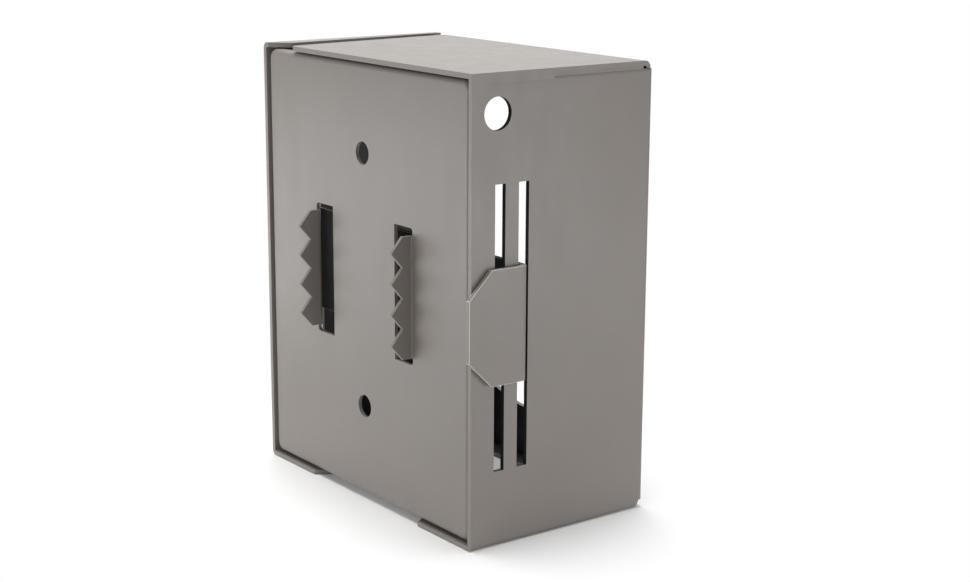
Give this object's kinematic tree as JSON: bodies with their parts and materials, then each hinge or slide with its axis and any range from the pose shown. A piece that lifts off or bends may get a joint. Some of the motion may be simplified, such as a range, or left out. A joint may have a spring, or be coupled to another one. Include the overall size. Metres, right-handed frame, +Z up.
{
  "type": "trail camera security box",
  "caption": "Folded sheet-steel security box for a trail camera: open housing with a round-ended front window, a toothed back plate for lag screws and a sliding lock bar with an ear.",
  "frame": {"origin": "midway between the two lag-screw holes, on the rear face of the back plate, which bears against the tree", "axes": "+Z up along the tree, +Y from the tree towards the window, +X to the side that carries the lock bar's ear"},
  "size_m": [0.1644, 0.0925, 0.175],
  "materials": {
    "powder_coat": "satin warm-grey powder coat with a fine orange peel",
    "painted_weld": "weld bead ground flush and powder coated"
  },
  "bodies": {
    "housing": {"housing_shell": "powder_coat", "top_panel": "powder_coat", "seam_weld": "painted_weld"},
    "back_plate": {"back_plate": "powder_coat"},
    "lock_bar": {"lock_bar": "powder_coat"}
  },
  "joints": [
    {"name": "plate_off", "type": "slide", "parent": "housing", "child": "back_plate", "axis": [0, -1, 0], "range_m": [0, 0.04]},
    {"name": "bar_height", "type": "slide", "parent": "housing", "child": "lock_bar", "axis": [0, 0, 1], "range_m": [-0.0328, 0.0298]}
  ]
}
